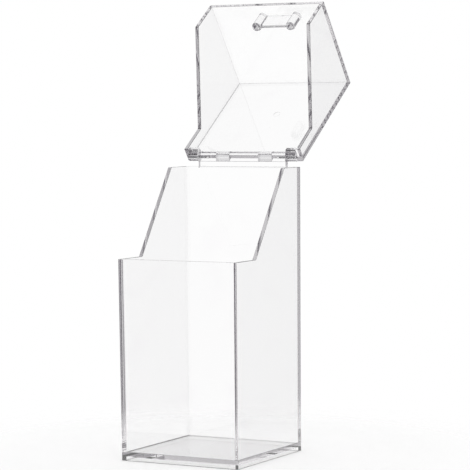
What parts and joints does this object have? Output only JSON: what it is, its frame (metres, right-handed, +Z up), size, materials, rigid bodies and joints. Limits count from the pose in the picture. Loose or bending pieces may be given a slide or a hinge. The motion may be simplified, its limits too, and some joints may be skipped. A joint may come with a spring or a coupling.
{
  "type": "brush holder with hinged lid",
  "caption": "Tall clear square holder for make-up brushes, with a slanted mouth and a clear hood lid that swings up on a pinned hinge at the back.",
  "frame": {"origin": "centre of the underside of the tub, on the surface it stands on", "axes": "+Z up, +Y from the front to the hinge at the back, +X to the right seen from the front; the lid's hinge axis is parallel to X, and the lid is drawn open against its stops"},
  "size_m": [0.09, 0.1669, 0.3045],
  "materials": {
    "clear_plastic": "clear, polished, colourless",
    "pin_steel": "drawn bright wire"
  },
  "bodies": {
    "box": {"tub": "clear_plastic", "hinge_pin_left": "pin_steel", "hinge_pin_right": "pin_steel"},
    "cover": {"lid": "clear_plastic", "grip": "clear_plastic"}
  },
  "joints": [
    {"name": "lid_hinge", "type": "hinge", "parent": "box", "child": "cover", "pos_m": [0, 0.0462, 0.1989], "axis": [1, 0, 0], "range_deg": [0, 144]}
  ]
}
